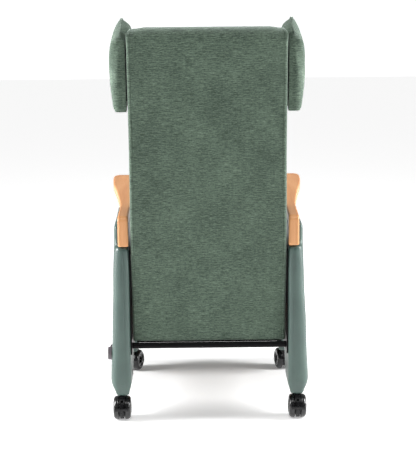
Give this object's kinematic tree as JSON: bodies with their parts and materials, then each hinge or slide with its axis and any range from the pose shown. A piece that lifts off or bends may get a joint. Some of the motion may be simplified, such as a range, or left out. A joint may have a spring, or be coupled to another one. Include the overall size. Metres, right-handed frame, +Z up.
{
  "type": "patient recliner chair",
  "caption": "High-backed winged patient recliner with wooden arms, padded closed sides, a hinged legrest and swivel casters with brakes.",
  "frame": {"origin": "on the floor under the middle of the chair's outline", "axes": "+Z up, -Y the way the sitter faces, +X to the sitter's left"},
  "size_m": [0.62, 0.7423, 1.193],
  "materials": {
    "vinyl": "satin upholstery vinyl, fine grain",
    "tweed": "matte woven tweed, mixed green threads",
    "beech": "clear satin lacquer",
    "plywood": "raw birch plywood",
    "black_steel": "black powder coat",
    "zinc_steel": "zinc plated",
    "caster_plastic": "moulded nylon",
    "wheel_plastic": "moulded, slightly glossy",
    "knob_plastic": "moulded grey-brown",
    "bush_plastic": "moulded acetal",
    "cable_sheath": "extruded sheath"
  },
  "bodies": {
    "base": {"side_panel_left": "vinyl", "side_panel_right": "vinyl", "side_frame_left": "black_steel", "side_frame_right": "black_steel", "arm_left": "beech", "arm_right": "beech", "arm_screws": "zinc_steel", "rear_crossbar": "black_steel", "front_crossbar": "black_steel", "seat_frame": "black_steel", "seat_deck": "plywood", "seat_deck_screws": "zinc_steel", "seat_cushion": "tweed", "pivot_plates": "black_steel", "plate_screws": "zinc_steel", "pivot_pins": "zinc_steel", "gas_spring_bracket": "black_steel", "gas_spring_pins": "zinc_steel", "release_cable": "cable_sheath", "legrest_pins": "zinc_steel", "caster_sockets": "bush_plastic"},
    "back": {"back_frame": "black_steel", "back_shell": "tweed", "back_cushion": "tweed", "wing_left": "tweed", "wing_right": "tweed", "wing_plates": "black_steel", "wing_screws": "zinc_steel", "pivot_bushes": "bush_plastic"},
    "spring_rod": {"gas_spring_rod": "zinc_steel"},
    "spring_cylinder": {"gas_spring_cylinder": "black_steel"},
    "release": {"release_knob": "knob_plastic", "release_spindle": "zinc_steel"},
    "valve": {"valve_lever": "zinc_steel"},
    "legrest": {"legrest_frame": "black_steel", "legrest_board": "plywood", "legrest_cushion": "tweed", "legrest_friction_discs": "bush_plastic"},
    "caster_rear_left": {"caster_rear_left_stem": "zinc_steel", "caster_rear_left_hood": "caster_plastic", "caster_rear_left_axle": "zinc_steel"},
    "caster_rear_left_outer_wheel": {"caster_rear_left_wheel_outer": "wheel_plastic"},
    "caster_rear_left_inner_wheel": {"caster_rear_left_wheel_inner": "wheel_plastic"},
    "caster_rear_left_brake": {"caster_rear_left_pedal": "caster_plastic"},
    "caster_rear_right": {"caster_rear_right_stem": "zinc_steel", "caster_rear_right_hood": "caster_plastic", "caster_rear_right_axle": "zinc_steel"},
    "caster_rear_right_outer_wheel": {"caster_rear_right_wheel_outer": "wheel_plastic"},
    "caster_rear_right_inner_wheel": {"caster_rear_right_wheel_inner": "wheel_plastic"},
    "caster_rear_right_brake": {"caster_rear_right_pedal": "caster_plastic"},
    "caster_front_left": {"caster_front_left_stem": "zinc_steel", "caster_front_left_hood": "caster_plastic", "caster_front_left_axle": "zinc_steel"},
    "caster_front_left_outer_wheel": {"caster_front_left_wheel_outer": "wheel_plastic"},
    "caster_front_left_inner_wheel": {"caster_front_left_wheel_inner": "wheel_plastic"},
    "caster_front_right": {"caster_front_right_stem": "zinc_steel", "caster_front_right_hood": "caster_plastic", "caster_front_right_axle": "zinc_steel"},
    "caster_front_right_outer_wheel": {"caster_front_right_wheel_outer": "wheel_plastic"},
    "caster_front_right_inner_wheel": {"caster_front_right_wheel_inner": "wheel_plastic"}
  },
  "joints": [
    {"name": "back_recline", "type": "hinge", "parent": "base", "child": "back", "pos_m": [0, 0.205, 0.396], "axis": [-1, 0, 0], "range_deg": [0, 45]},
    {"name": "spring_swing", "type": "hinge", "parent": "base", "child": "spring_rod", "pos_m": [0, -0.084, 0.246], "axis": [1, 0, 0], "range_deg": [0, 9.15]},
    {"name": "spring_stroke", "type": "slide", "parent": "spring_rod", "child": "spring_cylinder", "axis": [0, -0.9815, -0.1913], "range_m": [0, 0.0553]},
    {"name": "release_turn", "type": "hinge", "parent": "base", "child": "release", "pos_m": [0, 0.244, 0.207], "axis": [-1, 0, 0], "range_deg": [0, 30], "stiffness_Nm_per_rad": 0.6, "springref_deg": -11.46},
    {"name": "valve_press", "type": "hinge", "parent": "base", "child": "valve", "pos_m": [0, -0.084, 0.246], "axis": [-1, 0, 0], "range_deg": [0, 12]},
    {"name": "legrest_lift", "type": "hinge", "parent": "base", "child": "legrest", "pos_m": [0, -0.352, 0.3375], "axis": [-1, 0, 0], "range_deg": [0, 80]},
    {"name": "caster_rear_left_swivel", "type": "hinge", "parent": "base", "child": "caster_rear_left", "pos_m": [0.263, 0.214, 0], "axis": [0, 0, 1], "continuous": true},
    {"name": "caster_rear_left_outer_spin", "type": "hinge", "parent": "caster_rear_left", "child": "caster_rear_left_outer_wheel", "pos_m": [0.263, 0.236, 0.036], "axis": [1, 0, 0], "continuous": true},
    {"name": "caster_rear_left_inner_spin", "type": "hinge", "parent": "caster_rear_left", "child": "caster_rear_left_inner_wheel", "pos_m": [0.263, 0.236, 0.036], "axis": [1, 0, 0], "continuous": true},
    {"name": "caster_rear_left_brake_press", "type": "hinge", "parent": "caster_rear_left", "child": "caster_rear_left_brake", "pos_m": [0.263, 0.263, 0.055], "axis": [1, 0, 0], "range_deg": [0, 18]},
    {"name": "caster_rear_right_swivel", "type": "hinge", "parent": "base", "child": "caster_rear_right", "pos_m": [-0.263, 0.214, 0], "axis": [0, 0, 1], "continuous": true},
    {"name": "caster_rear_right_outer_spin", "type": "hinge", "parent": "caster_rear_right", "child": "caster_rear_right_outer_wheel", "pos_m": [-0.263, 0.236, 0.036], "axis": [1, 0, 0], "continuous": true},
    {"name": "caster_rear_right_inner_spin", "type": "hinge", "parent": "caster_rear_right", "child": "caster_rear_right_inner_wheel", "pos_m": [-0.263, 0.236, 0.036], "axis": [1, 0, 0], "continuous": true},
    {"name": "caster_rear_right_brake_press", "type": "hinge", "parent": "caster_rear_right", "child": "caster_rear_right_brake", "pos_m": [-0.263, 0.263, 0.055], "axis": [1, 0, 0], "range_deg": [0, 18]},
    {"name": "caster_front_left_swivel", "type": "hinge", "parent": "base", "child": "caster_front_left", "pos_m": [0.263, -0.28, 0], "axis": [0, 0, 1], "continuous": true},
    {"name": "caster_front_left_outer_spin", "type": "hinge", "parent": "caster_front_left", "child": "caster_front_left_outer_wheel", "pos_m": [0.25548, -0.30067, 0.036], "axis": [-0.9397, 0.342, 0], "continuous": true},
    {"name": "caster_front_left_inner_spin", "type": "hinge", "parent": "caster_front_left", "child": "caster_front_left_inner_wheel", "pos_m": [0.25548, -0.30067, 0.036], "axis": [-0.9397, 0.342, 0], "continuous": true},
    {"name": "caster_front_right_swivel", "type": "hinge", "parent": "base", "child": "caster_front_right", "pos_m": [-0.263, -0.28, 0], "axis": [0, 0, 1], "continuous": true},
    {"name": "caster_front_right_outer_spin", "type": "hinge", "parent": "caster_front_right", "child": "caster_front_right_outer_wheel", "pos_m": [-0.25918, -0.30167, 0.036], "axis": [-0.9848, -0.1736, 0], "continuous": true},
    {"name": "caster_front_right_inner_spin", "type": "hinge", "parent": "caster_front_right", "child": "caster_front_right_inner_wheel", "pos_m": [-0.25918, -0.30167, 0.036], "axis": [-0.9848, -0.1736, 0], "continuous": true}
  ],
  "couplings": [
    {"joint": "spring_swing", "follows": "back_recline", "ratio": 0.1923},
    {"joint": "spring_stroke", "follows": "back_recline", "m_per_rad": 0.06912},
    {"joint": "valve_press", "follows": "release_turn", "ratio": 0.38}
  ]
}
